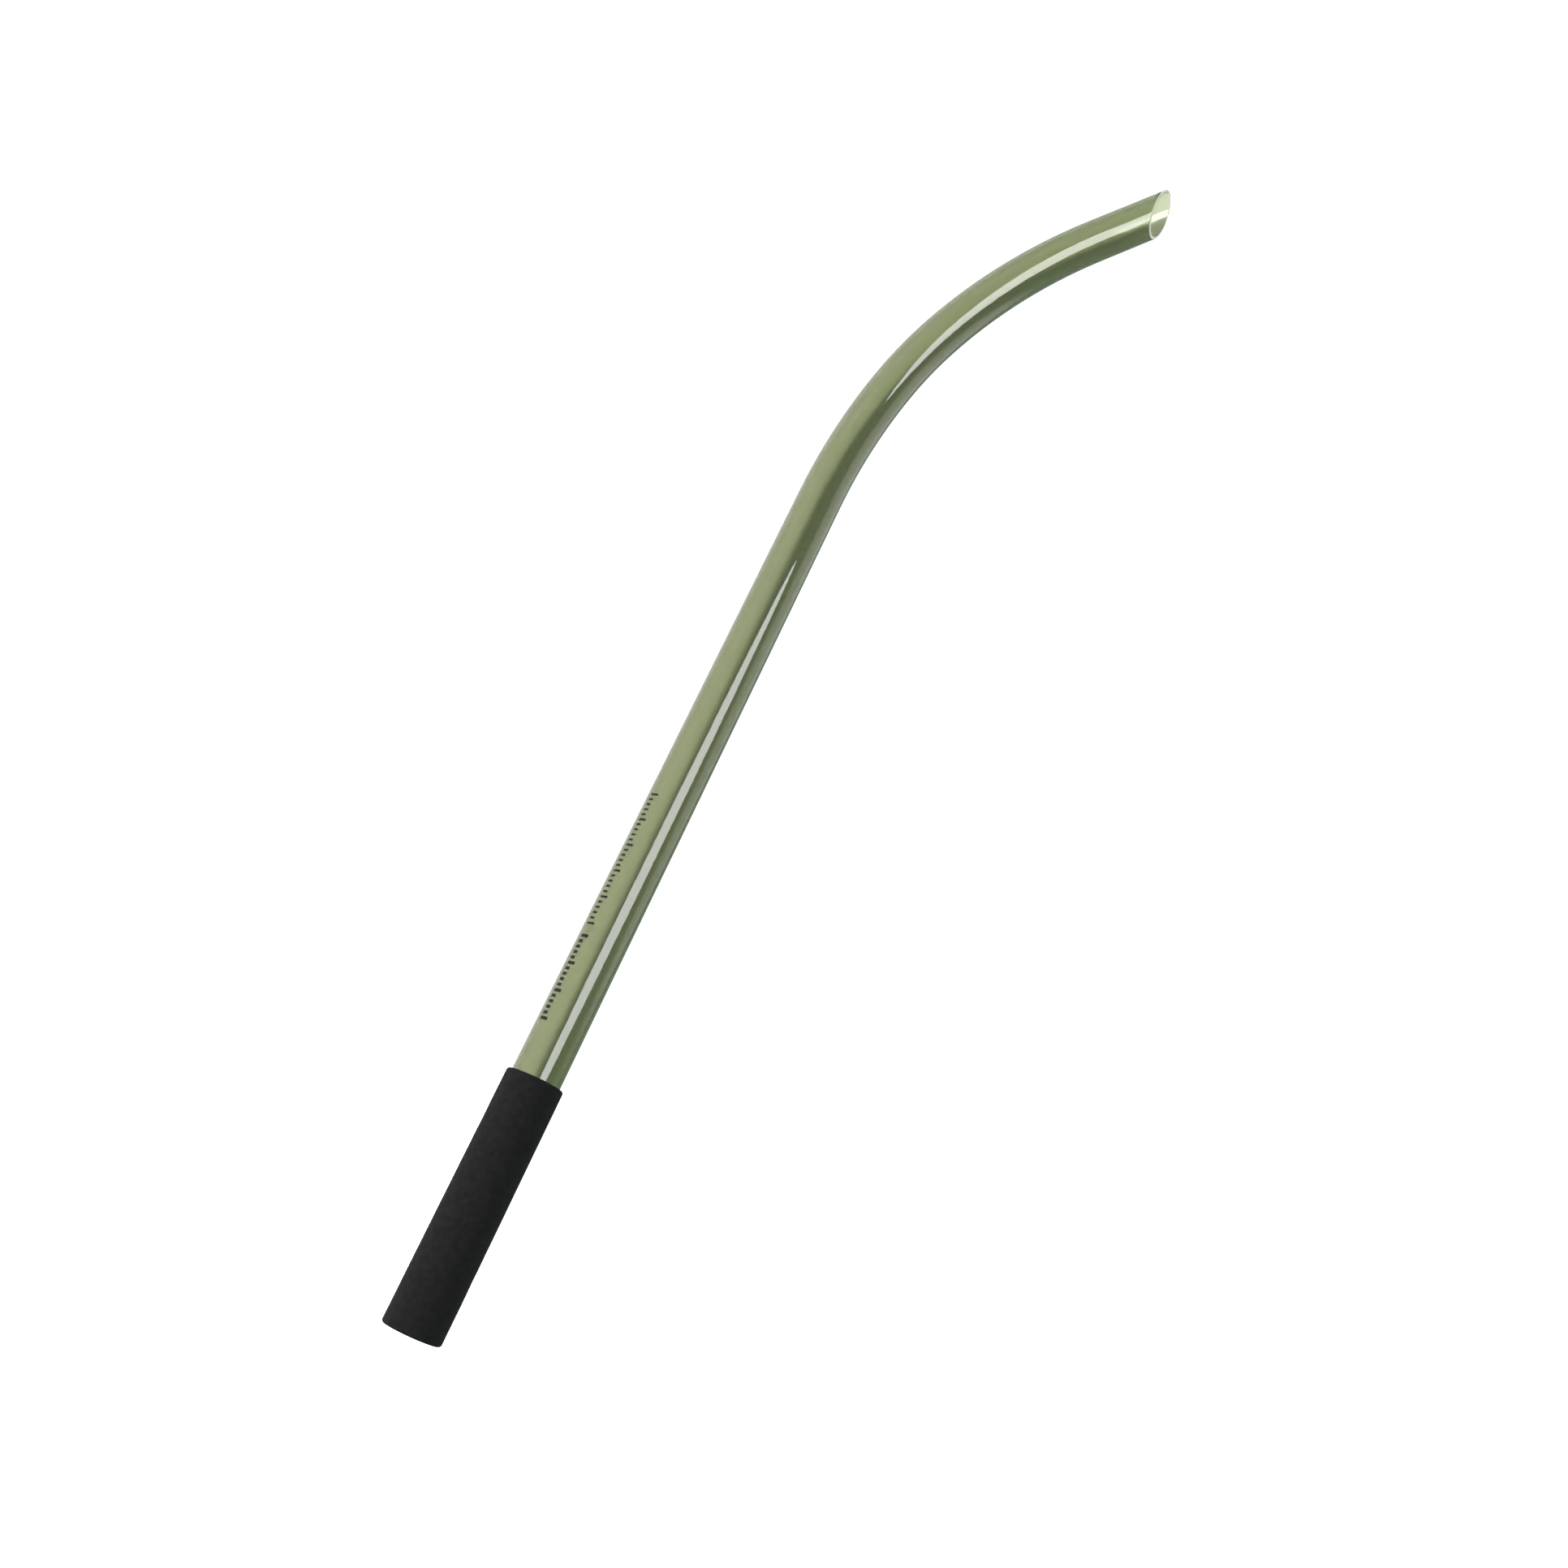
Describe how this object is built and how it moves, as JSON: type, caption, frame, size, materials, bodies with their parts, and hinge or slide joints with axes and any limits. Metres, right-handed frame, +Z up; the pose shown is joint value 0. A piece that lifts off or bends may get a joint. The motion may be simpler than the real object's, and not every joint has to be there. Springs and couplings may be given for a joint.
{
  "type": "bait throwing stick",
  "caption": "Bent clear tube with a slanted open mouth, closed at the foam-gripped butt: round bait is dropped into the mouth and thrown by swinging the stick.",
  "frame": {"origin": "on the floor under the middle of the stick's bounding box, as it lies flat on its side", "axes": "+Y along the straight tube from the butt towards the mouth, +X the side that the tube bends to, +Z up"},
  "size_m": [0.1592, 0.925, 0.035],
  "materials": {
    "tube": "clear smoke-green extruded plastic tube, polished, with a slight olive tint",
    "foam": "black closed-cell foam, matte and finely pitted",
    "bung": "black moulded plastic, fine matte"
  },
  "bodies": {
    "root": {"tube_lower": "tube", "tube_upper": "tube", "grip_sleeve": "foam", "end_bung": "bung"}
  },
  "joints": []
}
